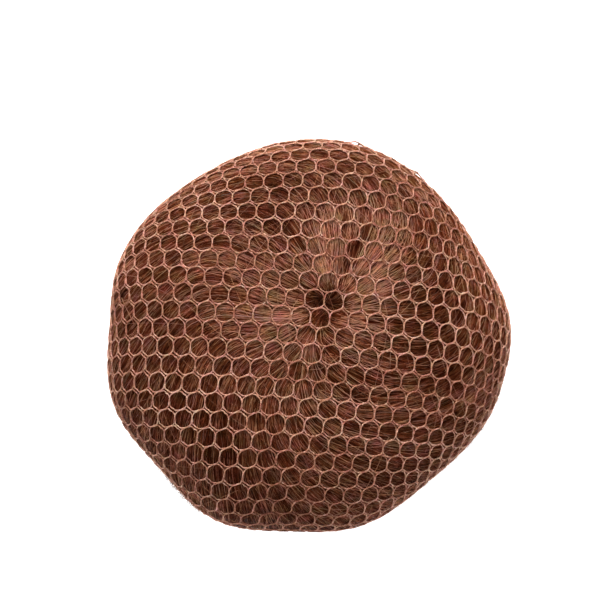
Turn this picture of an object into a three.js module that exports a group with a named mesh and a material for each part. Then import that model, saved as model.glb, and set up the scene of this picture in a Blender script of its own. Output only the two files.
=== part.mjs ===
// A fine-mesh hair net drawn over a round bun pad that is dressed with spiral locks of hair.
// Millimetres. The bun lies on its flat back: +Z runs from the back to the crown, and X and Y
// are the crown's right and top. The origin is the middle of the outline, at the level of the back.

import * as THREE from "three";

// The bun's body, as the outside of the net
const bun = {
  height: 50,
  equatorHeight: 22, // the level of the widest outline
  crownPower: 2.2, // 2 would make the crown's profile an ellipse
  apexX: -4.7, // the flattest spot of the crown, left of and below the middle
  apexY: -7.1,
  meanRadius: 47,
  footShare: 0.7, // the flat back's edge, as a share of the widest outline
};

// The widest outline, at the middle of each bulge and dent, anticlockwise from +X
const outline = [
  { bearing: 0, radius: 47.9 },
  { bearing: 30, radius: 44.8 },
  { bearing: 78, radius: 46.6 },
  { bearing: 118, radius: 45.5 },
  { bearing: 160, radius: 48.2 },
  { bearing: 176, radius: 47.3 },
  { bearing: 200, radius: 49.2 },
  { bearing: 222, radius: 47.6 },
  { bearing: 242, radius: 49.3 },
  { bearing: 268, radius: 46.7 },
  { bearing: 282, radius: 47.0 },
  { bearing: 310, radius: 44.9 },
  { bearing: 343, radius: 47.2 },
];

// The net's mesh and its plain gathered edge
const net = {
  wall: 1,
  gapPitch: 11.7,
  strand: 2.3, // between one gap and the next
  cornerAngle: 22, // the gaps' corners are rounded off where a hexagon's would be at 30 degrees
  rowTilt: -3, // degrees
  meshReach: 71, // from the apex down the side, along the surface
  hemReach: 73, // where the plain hem starts
  hemColumns: 52,
  gathers: 13,
  hemRings: 3, // down to the flat back
  stripEdge: 9, // the longest edge between the last gaps and the hem
};

// The net's back, from the edge of the flat rest inwards to the mouth
const backRings = [
  { radius: 27, height: 0, gather: 0 },
  { radius: 24, height: 0.3, gather: 0.8 },
  { radius: 21, height: 1.1, gather: 1.1 },
];

const band = {
  radius: 19.4,
  thickness: 2.2,
  height: 1.9,
  sides: 36,
  tubeSides: 8,
};

// The pad and the locks that turn outwards from its hole
const pad = {
  gap: 0.5, // to the inside of the net
  holeX: 5.6,
  holeY: 7.8,
  holeRadius: 4.2,
  holeDepth: 7,
  backHeight: 3.8,
  locks: 24,
  grooveDepth: 0.8,
  turn: 57, // degrees, from the hole to the outline
  holeRings: [0.02, 0.05, 0.1], // as shares of the way to the outline
  crownRings: 9,
  sideRings: 3,
};

const degrees = Math.PI / 180;

// The outline eases from each bulge to the next dent
function tableRadius(bearing) {
  const angle = THREE.MathUtils.euclideanModulo(bearing / degrees, 360);
  const next = outline.findIndex((row) => row.bearing > angle);
  const to = next < 0 ? { ...outline[0], bearing: 360 } : outline[next];
  const from = next < 0 ? outline.at(-1) : outline[next - 1];
  const share = (angle - from.bearing) / (to.bearing - from.bearing);
  return from.radius + ((to.radius - from.radius) * (1 - Math.cos(share * Math.PI))) / 2;
}

// A level of the bun in plan: dents fade out towards the apex, where levels centre on the apex
function levelPoint(share, bearing) {
  const radius = bun.meanRadius + (tableRadius(bearing) - bun.meanRadius) * share ** 2;
  return new THREE.Vector2(
    bun.apexX * (1 - share ** 2) + radius * share * Math.cos(bearing),
    bun.apexY * (1 - share ** 2) + radius * share * Math.sin(bearing),
  );
}

// One profile from the apex over the equator to the edge of the flat back, with its length
function makeProfile() {
  const crownHeight = bun.height - bun.equatorHeight;
  const steps = 90;
  const points = [];
  for (let i = 0; i <= steps; i += 1) {
    const angle = (i / steps) * (Math.PI / 2);
    points.push({
      share: Math.sin(angle) ** (2 / bun.crownPower),
      height: bun.equatorHeight + crownHeight * Math.max(0, Math.cos(angle)) ** (2 / bun.crownPower),
      crown: true,
    });
  }
  for (let i = 1; i <= steps; i += 1) {
    const angle = (i / steps) * (Math.PI / 2);
    points.push({
      share: bun.footShare + (1 - bun.footShare) * Math.cos(angle),
      height: bun.equatorHeight * (1 - Math.sin(angle)),
      crown: false,
    });
  }
  points[0].length = 0;
  for (let i = 1; i < points.length; i += 1) {
    const out = (points[i].share - points[i - 1].share) * bun.meanRadius;
    const up = points[i].height - points[i - 1].height;
    points[i].length = points[i - 1].length + Math.hypot(out, up);
  }
  return points;
}

const profile = makeProfile();
const footLength = profile.at(-1).length;
const equatorLength = profile.find((point) => !point.crown).length;

function profileAt(length) {
  const clamped = THREE.MathUtils.clamp(length, 0, footLength);
  const next = Math.max(1, profile.findIndex((point) => point.length >= clamped));
  const from = profile[next - 1];
  const to = profile[next];
  const share = (clamped - from.length) / (to.length - from.length);
  return {
    share: from.share + (to.share - from.share) * share,
    height: from.height + (to.height - from.height) * share,
    crown: to.crown,
  };
}

function bunPoint(length, bearing) {
  const at = profileAt(length);
  const plan = at.crown
    ? levelPoint(at.share, bearing)
    : levelPoint(1, bearing).multiplyScalar(at.share);
  return new THREE.Vector3(plan.x, plan.y, at.height);
}

// The bun's surface, moved in by inset along its normal
function skinPoint(length, bearing, inset) {
  const point = bunPoint(length, bearing);
  const step = 0.4;
  const low = Math.max(length - step, step);
  const along = bunPoint(low + 2 * step, bearing).sub(bunPoint(low, bearing));
  const turn = 0.01;
  const from = Math.max(length, step);
  const round = bunPoint(from, bearing + turn).sub(bunPoint(from, bearing - turn));
  const normal = along.cross(round).normalize();
  if (length < step) {
    normal.set(0, 0, 1);
  }
  return point.addScaledVector(normal, -inset);
}

// A list of corners and triangles that grows into one closed mesh
function makeSheet() {
  const corners = [];
  const triangles = [];
  return {
    add(point) {
      corners.push(point);
      return corners.length - 1;
    },
    face(a, b, c) {
      triangles.push(a, b, c);
    },
    // Joins two rings of the same length, first the one that lies to the left of the way round
    band(left, right) {
      for (let i = 0; i < left.length; i += 1) {
        const next = (i + 1) % left.length;
        this.face(left[i], right[i], right[next]);
        this.face(left[i], right[next], left[next]);
      }
    },
    // Closes a ring with a fan
    cap(middle, ring) {
      const centre = this.add(middle);
      ring.forEach((corner, i) => this.face(centre, corner, ring[(i + 1) % ring.length]));
    },
    geometry() {
      const made = new THREE.BufferGeometry();
      const places = corners.flatMap((point) => [point.x, point.y, point.z]);
      made.setAttribute("position", new THREE.Float32BufferAttribute(places, 3));
      made.setIndex(triangles);
      made.computeVertexNormals();
      return made;
    },
  };
}

// The gaps lie in rows, half a pitch aside from row to row, on the net laid flat round the apex
function gapCentres() {
  const rowPitch = (net.gapPitch * Math.sqrt(3)) / 2;
  const cornerReach = net.gapPitch / Math.sqrt(3);
  const rows = Math.ceil(net.meshReach / rowPitch);
  const centres = [];
  for (let row = -rows; row <= rows; row += 1) {
    for (let i = -2 * rows; i <= 2 * rows; i += 1) {
      const centre = new THREE.Vector2((i + (row % 2) / 2) * net.gapPitch, row * rowPitch);
      centre.rotateAround(new THREE.Vector2(), net.rowTilt * degrees);
      if (centre.length() + cornerReach < net.meshReach) {
        centres.push(centre);
      }
    }
  }
  return centres;
}

function around(centre, radius, angle) {
  return new THREE.Vector2(radius, 0).rotateAround(new THREE.Vector2(), angle).add(centre);
}

// Splits the longest inner edge in two, again and again, until every one is within the limit
function splitLongEdges(triangles, limit, length, middle) {
  const sides = ([a, b, c]) => [
    [a, b],
    [b, c],
    [c, a],
  ];
  let parts = triangles;
  for (;;) {
    const known = new Set(parts.flatMap(sides).map(([from, to]) => `${from} ${to}`));
    const inner = parts.flatMap(sides).filter(([from, to]) => known.has(`${to} ${from}`));
    const longest = inner.reduce((best, side) => (length(...side) > length(...best) ? side : best));
    if (length(...longest) <= limit) {
      return parts;
    }
    const half = middle(...longest);
    parts = parts.flatMap((triangle) => {
      const k = sides(triangle).findIndex((side) => side.every((end) => longest.includes(end)));
      const [a, b, c] = [0, 1, 2].map((turn) => triangle[(k + turn) % 3]);
      const halves = [
        [a, half, c],
        [half, b, c],
      ];
      return k < 0 ? [triangle] : halves.filter((part) => new Set(part).size === 3);
    });
  }
}

function netGeometry() {
  const sheet = makeSheet();
  const known = new Map();
  const flat = [];
  // One outer and one inner corner for each place on the flat net
  function pair(place) {
    const key = `${place.x.toFixed(3)} ${place.y.toFixed(3)}`;
    if (!known.has(key)) {
      const bearing = Math.atan2(place.y, place.x);
      known.set(key, flat.length);
      flat.push({
        place,
        outer: sheet.add(skinPoint(place.length(), bearing, 0)),
        inner: sheet.add(skinPoint(place.length(), bearing, net.wall)),
      });
    }
    return known.get(key);
  }
  // One triangle of the net, outside and inside
  function web(a, b, c) {
    sheet.face(flat[a].outer, flat[b].outer, flat[c].outer);
    sheet.face(flat[a].inner, flat[c].inner, flat[b].inner);
  }

  const edges = new Map();
  const tilt = net.rowTilt * degrees;
  const rounding = Math.cos(net.cornerAngle * degrees);
  for (const centre of gapCentres()) {
    const corners = [];
    const rim = [];
    for (let k = 0; k < 6; k += 1) {
      const angle = tilt + (60 * k + 30) * degrees;
      corners.push(pair(around(centre, net.gapPitch / Math.sqrt(3), angle)));
    }
    for (let k = 0; k < 12; k += 1) {
      const angle = tilt + (30 * k + 30) * degrees;
      const toCorner = k % 2 === 0;
      const radius = (net.gapPitch - net.strand) / 2 / (toCorner ? rounding : 1);
      rim.push(pair(around(centre, radius, angle)));
    }
    for (let k = 0; k < 6; k += 1) {
      const next = (k + 1) % 6;
      const [first, middle, last] = [rim[2 * k], rim[2 * k + 1], rim[2 * next]];
      web(corners[k], corners[next], middle);
      web(corners[k], middle, first);
      web(corners[next], last, middle);
      const back = `${corners[next]} ${corners[k]}`;
      if (edges.has(back)) {
        edges.delete(back);
      } else {
        edges.set(`${corners[k]} ${corners[next]}`, [corners[k], corners[next]]);
      }
    }
    for (let k = 0; k < 12; k += 1) {
      const [a, b] = [flat[rim[k]], flat[rim[(k + 1) % 12]]];
      sheet.face(a.outer, b.outer, b.inner);
      sheet.face(a.outer, b.inner, a.inner);
    }
  }

  // The mesh's ragged edge, as one loop, and the plain hem's first ring round it
  const following = new Map(edges.values());
  const ragged = [following.keys().next().value];
  while (following.get(ragged.at(-1)) !== ragged[0]) {
    ragged.push(following.get(ragged.at(-1)));
  }
  const columns = [...Array(net.hemColumns).keys()].map((i) => (i / net.hemColumns) * 2 * Math.PI);
  const start = columns.map((angle) => pair(around(new THREE.Vector2(), net.hemReach, angle)));
  const order = [...start, ...ragged.slice().reverse()];
  const loops = [start, ragged.slice().reverse()].map((loop) => loop.map((i) => flat[i].place));
  const strip = THREE.ShapeUtils.triangulateShape(loops[0], [loops[1]])
    .map((triangle) => triangle.map((i) => order[i]))
    .filter((triangle) => new Set(triangle).size === 3);
  const length = (a, b) => flat[a].place.distanceTo(flat[b].place);
  const middle = (a, b) => pair(flat[a].place.clone().lerp(flat[b].place, 0.5));
  splitLongEdges(strip, net.stripEdge, length, middle).forEach((triangle) => web(...triangle));

  // The hem, down to the flat back and in to the gathered mouth
  const rings = [{ outer: start.map((i) => flat[i].outer), inner: start.map((i) => flat[i].inner) }];
  for (let ring = 1; ring <= net.hemRings; ring += 1) {
    const down = net.hemReach + ((footLength - net.hemReach) * ring) / net.hemRings;
    rings.push({
      outer: columns.map((bearing) => sheet.add(skinPoint(down, bearing, 0))),
      inner: columns.map((bearing) => sheet.add(skinPoint(down, bearing, net.wall))),
    });
  }
  for (const row of backRings) {
    const places = columns.map((bearing) => {
      const fold = (row.gather * (1 - Math.cos(bearing * net.gathers))) / 2;
      return new THREE.Vector3(
        row.radius * Math.cos(bearing),
        row.radius * Math.sin(bearing),
        row.height + fold,
      );
    });
    const lift = new THREE.Vector3(0, 0, net.wall);
    rings.push({
      outer: places.map((place) => sheet.add(place)),
      inner: places.map((place) => sheet.add(place.clone().add(lift))),
    });
  }
  for (let i = 1; i < rings.length; i += 1) {
    sheet.band(rings[i - 1].outer, rings[i].outer);
    sheet.band(rings[i].inner, rings[i - 1].inner);
  }
  sheet.band(rings.at(-1).outer, rings.at(-1).inner);
  return sheet.geometry();
}

// The length down the profile, and the bearing, that lie over a place in plan
function findOnCrown(x, y) {
  let low = 0;
  let high = 1;
  let bearing = 0;
  for (let i = 0; i < 40; i += 1) {
    const share = (low + high) / 2;
    const outX = x - bun.apexX * (1 - share ** 2);
    const outY = y - bun.apexY * (1 - share ** 2);
    bearing = Math.atan2(outY, outX);
    const radius = bun.meanRadius + (tableRadius(bearing) - bun.meanRadius) * share ** 2;
    if (Math.hypot(outX, outY) > radius * share) {
      low = share;
    } else {
      high = share;
    }
  }
  const next = profile.findIndex((point) => point.share >= low);
  const from = profile[Math.max(0, next - 1)];
  const to = profile[next];
  const share = to.share > from.share ? (low - from.share) / (to.share - from.share) : 0;
  return { length: from.length + (to.length - from.length) * share, bearing };
}

function padGeometry() {
  const sheet = makeSheet();
  const columnsPerLock = 3;
  const columns = [...Array(pad.locks * columnsPerLock).keys()];
  const hole = new THREE.Vector2(pad.holeX, pad.holeY);
  const inset = net.wall + pad.gap;
  const above = (point) => point.crown || skinPoint(point.length, 0, inset).z > pad.backHeight;
  const backLength = profile.find((point) => !above(point)).length;

  // Grooves part the locks, one column in each lock
  function surface(length, bearing, column) {
    const groove = column % columnsPerLock === 0 ? pad.grooveDepth : 0;
    return skinPoint(length, bearing, inset + groove);
  }

  // A ring of the crown, from the hole at share 0 to the outline at share 1
  function crownRing(share) {
    return columns.map((column) => {
      const spoke = (column / columns.length) * 2 * Math.PI;
      const edge = levelPoint(1, spoke + pad.turn * degrees * share ** 2);
      const plan = hole.clone().lerp(edge, share);
      const at = findOnCrown(plan.x, plan.y);
      const point = surface(at.length, at.bearing, column);
      const dip = Math.max(0, 1 - plan.distanceTo(hole) / pad.holeRadius);
      point.z -= pad.holeDepth * dip;
      return sheet.add(point);
    });
  }

  // A ring of the side, from the outline down to the edge of the pad's flat back
  function sideRing(length) {
    return columns.map((column) => {
      const spoke = (column / columns.length) * 2 * Math.PI;
      const point = surface(length, spoke + pad.turn * degrees, column);
      point.z = length < backLength ? point.z : pad.backHeight;
      return sheet.add(point);
    });
  }

  const rings = pad.holeRings.map(crownRing);
  const mouth = pad.holeRings.at(-1);
  for (let i = 1; i < pad.crownRings; i += 1) {
    rings.push(crownRing(mouth + (1 - mouth) * Math.sin((i / pad.crownRings) * (Math.PI / 2))));
  }
  for (let i = 0; i < pad.sideRings; i += 1) {
    rings.push(sideRing(equatorLength + ((backLength - equatorLength) * i) / pad.sideRings));
  }
  rings.push(sideRing(backLength));
  for (let i = 1; i < rings.length; i += 1) {
    sheet.band(rings[i - 1], rings[i]);
  }
  const over = findOnCrown(hole.x, hole.y);
  const bottom = skinPoint(over.length, over.bearing, inset);
  sheet.cap(bottom.setZ(bottom.z - pad.holeDepth), rings[0]);
  sheet.cap(new THREE.Vector3(0, 0, pad.backHeight), rings.at(-1).slice().reverse());
  return sheet.geometry();
}

const yarn = new THREE.MeshStandardMaterial({ color: 0xb98a73, roughness: 0.7 });
const elastic = new THREE.MeshStandardMaterial({ color: 0x4a2f24, roughness: 0.6 });
const hair = new THREE.MeshStandardMaterial({ color: 0x6b4030, roughness: 0.45 });

const group = new THREE.Group();

function addPiece(name, geometry, material, height) {
  const mesh = new THREE.Mesh(geometry, material);
  mesh.name = name;
  mesh.position.z = height;
  group.add(mesh);
}

const ring = new THREE.TorusGeometry(band.radius, band.thickness / 2, band.tubeSides, band.sides);
addPiece("hair_net", netGeometry(), yarn, 0);
addPiece("elastic_band", ring, elastic, band.height);
addPiece("hair_pad", padGeometry(), hair, 0);

export default group;
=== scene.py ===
# A fine-mesh hair net drawn over a bun of spiral locks, lying on its flat back.
# Sizes are millimetres until a mesh is made. +Z is the crown, +X its right and +Y its top.
import math
import bpy
import numpy as np
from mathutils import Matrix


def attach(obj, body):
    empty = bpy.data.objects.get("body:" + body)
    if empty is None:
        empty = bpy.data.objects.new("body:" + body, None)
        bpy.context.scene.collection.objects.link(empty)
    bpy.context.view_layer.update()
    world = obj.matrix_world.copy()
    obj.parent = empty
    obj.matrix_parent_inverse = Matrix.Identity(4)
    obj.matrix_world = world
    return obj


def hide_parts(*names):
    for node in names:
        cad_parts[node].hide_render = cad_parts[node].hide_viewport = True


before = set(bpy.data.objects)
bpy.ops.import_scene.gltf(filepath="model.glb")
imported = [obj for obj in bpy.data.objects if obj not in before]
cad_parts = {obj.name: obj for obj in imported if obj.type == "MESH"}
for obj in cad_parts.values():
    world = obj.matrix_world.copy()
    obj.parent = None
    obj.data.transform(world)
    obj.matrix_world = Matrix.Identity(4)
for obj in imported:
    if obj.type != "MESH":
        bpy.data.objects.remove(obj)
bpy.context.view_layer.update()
perMetre = 1000.0

# The bun's form, as the outside of the net
bun = {
    "height": 50.0,
    "equatorHeight": 22.0,  # the level of the widest outline
    "crownPower": 2.2,  # 2 would make the crown's profile an ellipse
    "apex": (-4.7, -7.1),  # the flattest spot of the crown
    "meanRadius": 47.0,
    "footShare": 0.7,  # the flat back's edge, as a share of the widest outline
    "mouthRadius": 20.9,
    "pastMouth": 1.3,  # how far past the mouth the back may go on, as a share of its width
    "mouthRise": 1.4,
    "gathers": 26,
    "gatherHeight": 0.9,
}

# The widest outline, at the middle of each bulge and dent, anticlockwise from +X
outline = [
    {"bearing": 0, "radius": 47.9},
    {"bearing": 30, "radius": 44.8},
    {"bearing": 78, "radius": 46.6},
    {"bearing": 118, "radius": 45.5},
    {"bearing": 160, "radius": 48.2},
    {"bearing": 176, "radius": 47.3},
    {"bearing": 200, "radius": 49.2},
    {"bearing": 222, "radius": 47.6},
    {"bearing": 242, "radius": 49.3},
    {"bearing": 268, "radius": 46.7},
    {"bearing": 282, "radius": 47.0},
    {"bearing": 310, "radius": 44.9},
    {"bearing": 343, "radius": 47.2},
]


def polar(length, bearing):
    return np.stack([length * np.cos(bearing), length * np.sin(bearing)], axis=-1)


def lengthOf(flat):
    return np.hypot(flat[..., 0], flat[..., 1])


def bearingOf(flat):
    return np.arctan2(flat[..., 1], flat[..., 0])


def unit(vectors, least=1e-12):
    # least keeps the division clear of nothing
    return vectors / (np.linalg.norm(vectors, axis=-1, keepdims=True) + least)


def dot(first, second):
    return np.sum(first * second, axis=-1)


def outlineRadius(bearing):
    marks = np.array([row["bearing"] for row in outline] + [360.0])
    radii = np.array([row["radius"] for row in outline] + [outline[0]["radius"]])
    place = np.interp(np.degrees(bearing) % 360.0, marks, np.arange(len(marks)))
    below = np.minimum(place.astype(int), len(outline) - 1)
    eased = (1 - np.cos((place - below) * np.pi)) / 2
    return radii[below] + (radii[below + 1] - radii[below]) * eased


def makeProfile(steps=300):
    # From the apex over the equator to the edge of the flat back: share of the outline, height
    # and length
    angle = np.linspace(0, np.pi / 2, steps)
    crown = bun["height"] - bun["equatorHeight"]
    power = 2 / bun["crownPower"]
    under = bun["footShare"] + (1 - bun["footShare"]) * np.cos(angle[1:])
    share = np.concatenate([np.sin(angle) ** power, under])
    top = bun["equatorHeight"] + crown * np.maximum(0, np.cos(angle)) ** power
    height = np.concatenate([top, bun["equatorHeight"] * (1 - np.sin(angle[1:]))])
    run = np.hypot(np.diff(share) * bun["meanRadius"], np.diff(height))
    return share, height, np.concatenate([[0], np.cumsum(run)]), steps - 1


profileShare, profileHeight, profileLength, equatorIndex = makeProfile()
equatorLength = profileLength[equatorIndex]
footLength = profileLength[-1]
backSpan = bun["footShare"] * bun["meanRadius"] - bun["mouthRadius"]
mouthLength = footLength + backSpan


def bunPoint(flat):
    # flat is a place on the net laid flat round the apex, and the answer lies on the bun
    length, bearing = lengthOf(flat), bearingOf(flat)
    share = np.interp(length, profileLength, profileShare)
    height = np.interp(length, profileLength, profileHeight)
    level = np.where(length <= equatorLength, share, 1.0)
    radius = bun["meanRadius"] + (outlineRadius(bearing) - bun["meanRadius"]) * level**2
    radius = radius * share
    back = np.clip((length - footLength) / backSpan, 0, bun["pastMouth"])
    radius = radius + (bun["mouthRadius"] - radius) * back
    rise = np.clip(back * 2 - 1, 0, None) ** 2
    fold = (1 - np.cos(bearing * bun["gathers"])) / 2 * bun["gatherHeight"]
    height = height + rise * (bun["mouthRise"] + fold)
    plan = polar(radius, bearing) + (1 - level**2)[..., None] * bun["apex"]
    return np.concatenate([plan, height[..., None]], axis=-1)


def bunFrame(flat, step=0.25):
    # The place on the bun, the two ways along it, and the outward normal
    alongX = (bunPoint(flat + [step, 0]) - bunPoint(flat - [step, 0])) / (2 * step)
    alongY = (bunPoint(flat + [0, step]) - bunPoint(flat - [0, step])) / (2 * step)
    return bunPoint(flat), alongX, alongY, unit(np.cross(alongX, alongY))


def flatPlace(x, y):
    # The other way round: the place on the flat net that lies over x and y on the crown
    low, high = np.zeros_like(x), np.ones_like(x)
    for _ in range(40):
        share = (low + high) / 2
        outX = x - bun["apex"][0] * (1 - share**2)
        outY = y - bun["apex"][1] * (1 - share**2)
        bearing = np.arctan2(outY, outX)
        radius = bun["meanRadius"] + (outlineRadius(bearing) - bun["meanRadius"]) * share**2
        beyond = np.hypot(outX, outY) > radius * share
        low, high = np.where(beyond, share, low), np.where(beyond, high, share)
    crown = slice(0, equatorIndex + 1)
    length = np.interp(low, profileShare[crown], profileLength[crown])
    return polar(length, bearing)


# Painted light at the widest outline: how much lighter the fibres are painted there for the light
# that the pale surroundings throw on the rim; below zero it is painted shade, as at the bottom
rimPaintedLight = [
    {"bearing": 0, "lighter": 0.4},
    {"bearing": 30, "lighter": 0.2},
    {"bearing": 55, "lighter": 0.3},
    {"bearing": 100, "lighter": 0.2},
    {"bearing": 130, "lighter": 0.25},
    {"bearing": 155, "lighter": 0.12},
    {"bearing": 170, "lighter": 0.36},
    {"bearing": 200, "lighter": 0.34},
    {"bearing": 235, "lighter": 0.4},
    {"bearing": 250, "lighter": 0.08},
    {"bearing": 265, "lighter": -0.4},
    {"bearing": 282, "lighter": -0.15},
    {"bearing": 300, "lighter": 0.38},
    {"bearing": 325, "lighter": 0.55},
    {"bearing": 345, "lighter": 0.85},
    {"bearing": 360, "lighter": 0.4},
]
rimWidth = 5.0


def readTable(rows, key, value, at):
    marks = np.array([float(row[key]) for row in rows])
    values = np.array([float(row[value]) for row in rows])
    return np.interp(at, marks, values)


def rimShare(flat):
    # 1 at the widest outline, and next to 0 further than a few millimetres from it
    return np.exp(-(((lengthOf(flat) - equatorLength) / rimWidth) ** 2))


def paintedRimLight(flat):
    # Painted rim light and shade, fading inwards from the widest outline
    bearing = np.degrees(bearingOf(flat)) % 360
    return readTable(rimPaintedLight, "bearing", "lighter", bearing) * rimShare(flat)


# Meshes


def addMesh(name, corners, faces, material, wraps=None):
    # faces is a list of arrays, one for each number of corners to a face, and wraps their UVs
    mesh = bpy.data.meshes.new(name)
    mesh.vertices.add(len(corners))
    mesh.vertices.foreach_set("co", (corners / perMetre).astype(np.float32).ravel())
    loops = np.concatenate([part.ravel() for part in faces]).astype(np.int32)
    totals = np.concatenate([np.full(len(part), part.shape[1]) for part in faces])
    starts = np.concatenate([[0], np.cumsum(totals)[:-1]])
    mesh.loops.add(len(loops))
    mesh.loops.foreach_set("vertex_index", loops)
    mesh.polygons.add(len(totals))
    mesh.polygons.foreach_set("loop_start", starts.astype(np.int32))
    mesh.polygons.foreach_set("loop_total", totals.astype(np.int32))
    mesh.polygons.foreach_set("use_smooth", np.full(len(totals), True))
    mesh.update(calc_edges=True)
    if wraps is not None:
        layer = mesh.uv_layers.new(name="UVMap")
        layer.data.foreach_set("uv", np.concatenate(wraps).astype(np.float32).ravel())
    mesh.materials.append(material)
    piece = bpy.data.objects.new(name, mesh)
    bpy.context.scene.collection.objects.link(piece)
    return piece


def addValue(piece, name, values):
    # One number for each corner of the mesh, which its material reads by name
    attribute = piece.data.attributes.new(name, "FLOAT", "POINT")
    attribute.data.foreach_set("value", values.astype(np.float32).ravel())


def tubes(points, normals, radii, sides):
    # points is strands by places by 3. Gives closed tubes, with caps, as corners, faces and
    # UVs that run once round the tube and in millimetres along it
    strands, places = points.shape[:2]
    along = unit(np.gradient(points, axis=1))
    across = unit(np.cross(along, normals))
    up = np.cross(across, along)
    turn = np.pi / 2 + np.arange(sides) * 2 * np.pi / sides
    ring = up[:, :, None] * np.sin(turn)[:, None] + across[:, :, None] * np.cos(turn)[:, None]
    corners = points[:, :, None, :] + ring * radii[:, :, None, None]
    index = np.arange(strands * places * sides).reshape(strands, places, sides)
    after = np.roll(index, -1, axis=2)
    quads = np.stack([index[:, :-1], after[:, :-1], after[:, 1:], index[:, 1:]], axis=-1)
    caps = np.concatenate([index[:, 0, ::-1], index[:, -1]])
    run = np.linalg.norm(np.diff(points, axis=1), axis=-1).cumsum(axis=1)
    run = np.concatenate([np.zeros((strands, 1)), run], axis=1)
    left = np.broadcast_to(np.arange(sides) / sides, quads.shape[:3])
    right = left + 1 / sides
    low = np.broadcast_to(run[:, :-1, None], quads.shape[:3])
    high = np.broadcast_to(run[:, 1:, None], quads.shape[:3])
    wrap = np.stack([left, low, right, low, right, high, left, high], axis=-1)
    wraps = [wrap.reshape(-1, 2), np.zeros((caps.size, 2))]
    return corners.reshape(-1, 3), [quads.reshape(-1, 4), caps], wraps


def joined(parts):
    # Several lots of tubes as one lot
    corners, quads, caps, start = [], [], [], 0
    for partCorners, partFaces, _ in parts:
        corners.append(partCorners)
        quads.append(partFaces[0] + start)
        caps.append(partFaces[1] + start)
        start += len(partCorners)
    wraps = [np.concatenate([part[2][k] for part in parts]) for k in (0, 1)]
    return np.concatenate(corners), [np.concatenate(quads), np.concatenate(caps)], wraps


# Shader groups and materials


def addSocket(group, name, kind, way, default=None):
    socket = group.interface.new_socket(name=name, in_out=way, socket_type=kind)
    if default is not None:
        socket.default_value = default
    return socket


def addMath(tree, operation, *values, kind="ShaderNodeMath"):
    # A math node, fed in order by sockets or plain numbers. Gives its answer's socket
    node = tree.nodes.new(kind)
    node.operation = operation
    for socket, value in zip(node.inputs, values):
        if isinstance(value, bpy.types.NodeSocket):
            tree.links.new(value, socket)
        else:
            socket.default_value = value
    return node.outputs[0]


def addColourMix(tree, factor):
    # Gives the sockets of its two colours and of the answer. They go by place, because the node
    # has the same names for its numbers
    mix = tree.nodes.new("ShaderNodeMix")
    mix.data_type = "RGBA"
    tree.links.new(factor, mix.inputs[0])
    return mix.inputs[6], mix.inputs[7], mix.outputs[2]


# The casts that make one strand greyer and another redder, and how rough the fibres are
strandSettings = {
    "greyer": (0.92, 1.02, 1.22, 1),
    "redder": (1.10, 0.97, 0.80, 1),
    "roughness": (0.36, 0.56),
    "detail": 3.0,
}


def makeStrandTint():
    # Tints fine fibres from dark to light by their own tone, with fine and broad changes of
    # colour, and makes some of them redder and some greyer
    group = bpy.data.node_groups.new("strandTint", "ShaderNodeTree")
    for name in ("Dark", "Middle", "Light"):
        addSocket(group, name, "NodeSocketColor", "INPUT", (0.2, 0.1, 0.05, 1))
    for name, value in (
        ("Tone", 0.5),
        ("Fine Scale", 900.0),
        ("Broad Scale", 90.0),
        ("Change", 0.3),
        ("Warmth", 0.5),
        ("Warmth Scale", 300.0),
        ("Warmth Change", 1.0),
    ):
        addSocket(group, name, "NodeSocketFloat", "INPUT", value)
    addSocket(group, "Color", "NodeSocketColor", "OUTPUT")
    addSocket(group, "Roughness", "NodeSocketFloat", "OUTPUT")
    addSocket(group, "Height", "NodeSocketFloat", "OUTPUT")
    nodes, links = group.nodes, group.links
    entry = nodes.new("NodeGroupInput")
    leave = nodes.new("NodeGroupOutput")
    place = nodes.new("ShaderNodeTexCoord")
    noises = {}
    for name in ("Fine Scale", "Broad Scale", "Warmth Scale"):
        noises[name] = nodes.new("ShaderNodeTexNoise")
        links.new(place.outputs["Object"], noises[name].inputs["Vector"])
        links.new(entry.outputs[name], noises[name].inputs["Scale"])
    fine, broad, patches = noises.values()
    fine.inputs["Detail"].default_value = strandSettings["detail"]
    broad.inputs["Detail"].default_value = strandSettings["detail"]
    # The tone, changed by both noises
    both = addMath(group, "ADD", fine.outputs["Fac"], broad.outputs["Fac"])
    centred = addMath(group, "SUBTRACT", both, 1.0)
    shift = addMath(group, "MULTIPLY_ADD", centred, entry.outputs["Change"], entry.outputs["Tone"])
    colour = entry.outputs["Dark"]
    for low, high, name in ((0.0, 0.5, "Middle"), (0.5, 1.0, "Light")):
        span = nodes.new("ShaderNodeMapRange")
        span.inputs["From Min"].default_value = low
        span.inputs["From Max"].default_value = high
        links.new(shift, span.inputs["Value"])
        darker, lighter, mixed = addColourMix(group, span.outputs["Result"])
        links.new(colour, darker)
        links.new(entry.outputs[name], lighter)
        colour = mixed
    # Each strand's own cast, and small patches of other casts along it
    greyer, redder, cast = addColourMix(group, entry.outputs["Warmth"])
    greyer.default_value = strandSettings["greyer"]
    redder.default_value = strandSettings["redder"]
    kind = "ShaderNodeVectorMath"
    level = addMath(group, "SUBTRACT", patches.outputs["Color"], (0.5, 0.5, 0.5), kind=kind)
    change = entry.outputs["Warmth Change"]
    around = addMath(group, "MULTIPLY_ADD", level, change, (1, 1, 1), kind=kind)
    casts = addMath(group, "MULTIPLY", cast, around, kind=kind)
    links.new(addMath(group, "MULTIPLY", colour, casts, kind=kind), leave.inputs["Color"])
    rough = nodes.new("ShaderNodeMapRange")
    rough.inputs["To Min"].default_value = strandSettings["roughness"][0]
    rough.inputs["To Max"].default_value = strandSettings["roughness"][1]
    links.new(fine.outputs["Fac"], rough.inputs["Value"])
    links.new(rough.outputs["Result"], leave.inputs["Roughness"])
    links.new(fine.outputs["Fac"], leave.inputs["Height"])
    return group


strandTint = makeStrandTint()


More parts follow.
